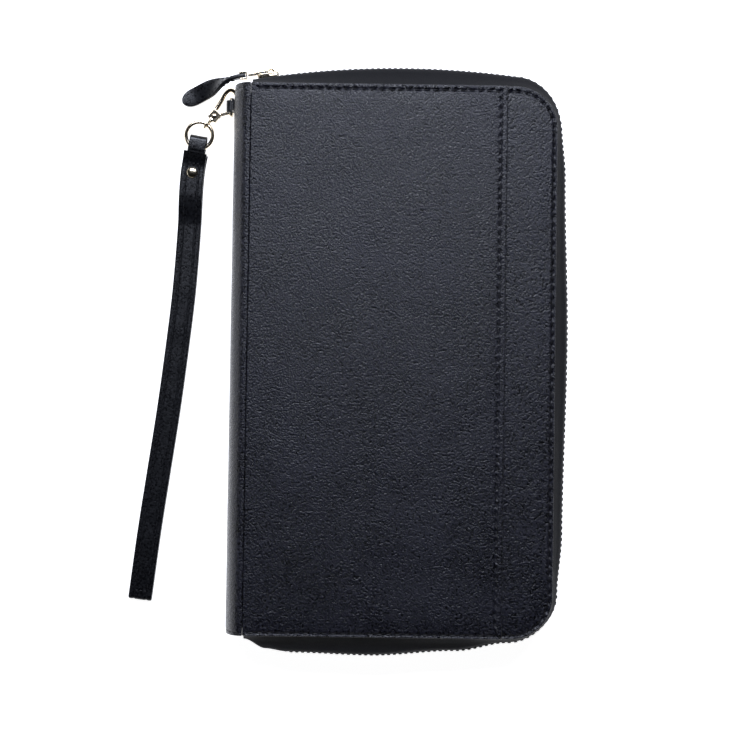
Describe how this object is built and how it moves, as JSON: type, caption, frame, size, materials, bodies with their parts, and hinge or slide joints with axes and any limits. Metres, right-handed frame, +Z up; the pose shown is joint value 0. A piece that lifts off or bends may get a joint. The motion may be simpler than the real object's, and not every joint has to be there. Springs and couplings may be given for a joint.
{
  "type": "travel document organizer",
  "caption": "Zip-around leather travel wallet with a rounded spine, inner passport and card pockets, and a wrist strap on a snap hook.",
  "frame": {"origin": "middle of the outer face of the back cover, which lies on the table", "axes": "+Z up through the closed covers, +Y from the foot to the head of the covers, +X from the spine to the free edge"},
  "size_m": [0.1849, 0.2477, 0.026],
  "materials": {
    "cover_leather": "black pebbled leather with a soft sheen",
    "strap_leather": "smooth black strap leather",
    "pocket_leather": "thin black leather",
    "lining": "black woven lining",
    "board": "pressed fibre board",
    "zip_tape": "black woven tape",
    "zip_teeth": "black moulded teeth",
    "zip_stop": "black moulded stop",
    "gold_metal": "polished pale gold plating"
  },
  "bodies": {
    "back_cover": {"back_leather": "cover_leather", "back_board": "board", "back_lining": "lining", "back_zip_tape": "zip_tape", "back_zip_teeth": "zip_teeth", "back_top_stop": "zip_stop", "bottom_stop": "zip_stop", "document_pocket": "pocket_leather", "passport_pocket": "pocket_leather"},
    "spine": {"spine_leather": "cover_leather", "spine_lining": "lining", "ring_keeper": "strap_leather"},
    "front_cover": {"front_leather": "cover_leather", "front_board": "board", "front_lining": "lining", "front_outer_pocket": "cover_leather", "front_zip_tape": "zip_tape", "front_zip_teeth": "zip_teeth", "front_top_stop": "zip_stop", "card_pocket_1": "pocket_leather", "card_pocket_2": "pocket_leather", "card_pocket_3": "pocket_leather", "card_pocket_4": "pocket_leather", "ticket_pocket": "pocket_leather"},
    "slider": {"zip_slider": "gold_metal"},
    "puller": {"puller_link": "gold_metal", "puller_cap": "gold_metal", "puller_tab": "strap_leather"},
    "strap_d_ring": {"d_ring": "gold_metal"},
    "snap_hook": {"hook_claw": "gold_metal", "gate_pin": "gold_metal"},
    "gate": {"hook_gate": "gold_metal"},
    "swivel": {"swivel_eye": "gold_metal"},
    "strap_ring": {"round_ring": "gold_metal"},
    "wrist_strap": {"strap_band": "strap_leather", "strap_tongue": "strap_leather", "rivet_cap": "gold_metal", "rivet_foot": "gold_metal"}
  },
  "joints": [
    {"name": "spine_fold", "type": "hinge", "parent": "back_cover", "child": "spine", "pos_m": [-0.061, 0, 0], "axis": [0, 1, 0], "range_deg": [-90, 0], "deforming": ["puller_tab", "front_top_stop"]},
    {"name": "front_fold", "type": "hinge", "parent": "spine", "child": "front_cover", "pos_m": [-0.061, 0, 0.026], "axis": [0, 1, 0], "range_deg": [-90, 0], "deforming": ["front_zip_tape", "front_zip_teeth", "back_zip_tape", "back_zip_teeth"]},
    {"name": "zip_travel", "type": "hinge", "parent": "back_cover", "child": "slider", "pos_m": [0.0047, -0.2541, 0.013], "axis": [0, 0, -1], "range_deg": [0, 14.8]},
    {"name": "puller_swing", "type": "hinge", "parent": "slider", "child": "puller", "pos_m": [-0.05398, 0.12144, 0.013], "axis": [0, 0, -1], "range_deg": [0, 175]},
    {"name": "d_ring_swing", "type": "hinge", "parent": "spine", "child": "strap_d_ring", "pos_m": [-0.06985, 0.1076, 0.0083], "axis": [0, -1, 0], "range_deg": [-60, 0]},
    {"name": "hook_swing", "type": "hinge", "parent": "strap_d_ring", "child": "snap_hook", "pos_m": [-0.06985, 0.1111, 0.0047], "axis": [0, 0, 1], "range_deg": [-8, 2]},
    {"name": "gate_opening", "type": "hinge", "parent": "snap_hook", "child": "gate", "pos_m": [-0.07719, 0.1039, 0.0047], "axis": [0, 0, 1], "range_deg": [0, 25], "stiffness_Nm_per_rad": 0.01, "springref_deg": -20.05},
    {"name": "swivel_turn", "type": "hinge", "parent": "snap_hook", "child": "swivel", "pos_m": [-0.07843, 0.10247, 0.0047], "axis": [-0.6561, -0.7547, 0], "range_deg": [0, 180]},
    {"name": "ring_lift", "type": "hinge", "parent": "swivel", "child": "strap_ring", "pos_m": [-0.08027, 0.10035, 0.0047], "axis": [-0.8192, 0.5736, 0], "range_deg": [0, 12]},
    {"name": "strap_lift", "type": "hinge", "parent": "strap_ring", "child": "wrist_strap", "pos_m": [-0.08449, 0.09007, 0.0045], "axis": [-0.9861, 0.166, 0], "range_deg": [0, 18]}
  ],
  "couplings": [
    {"joint": "front_fold", "follows": "spine_fold", "ratio": 1}
  ]
}
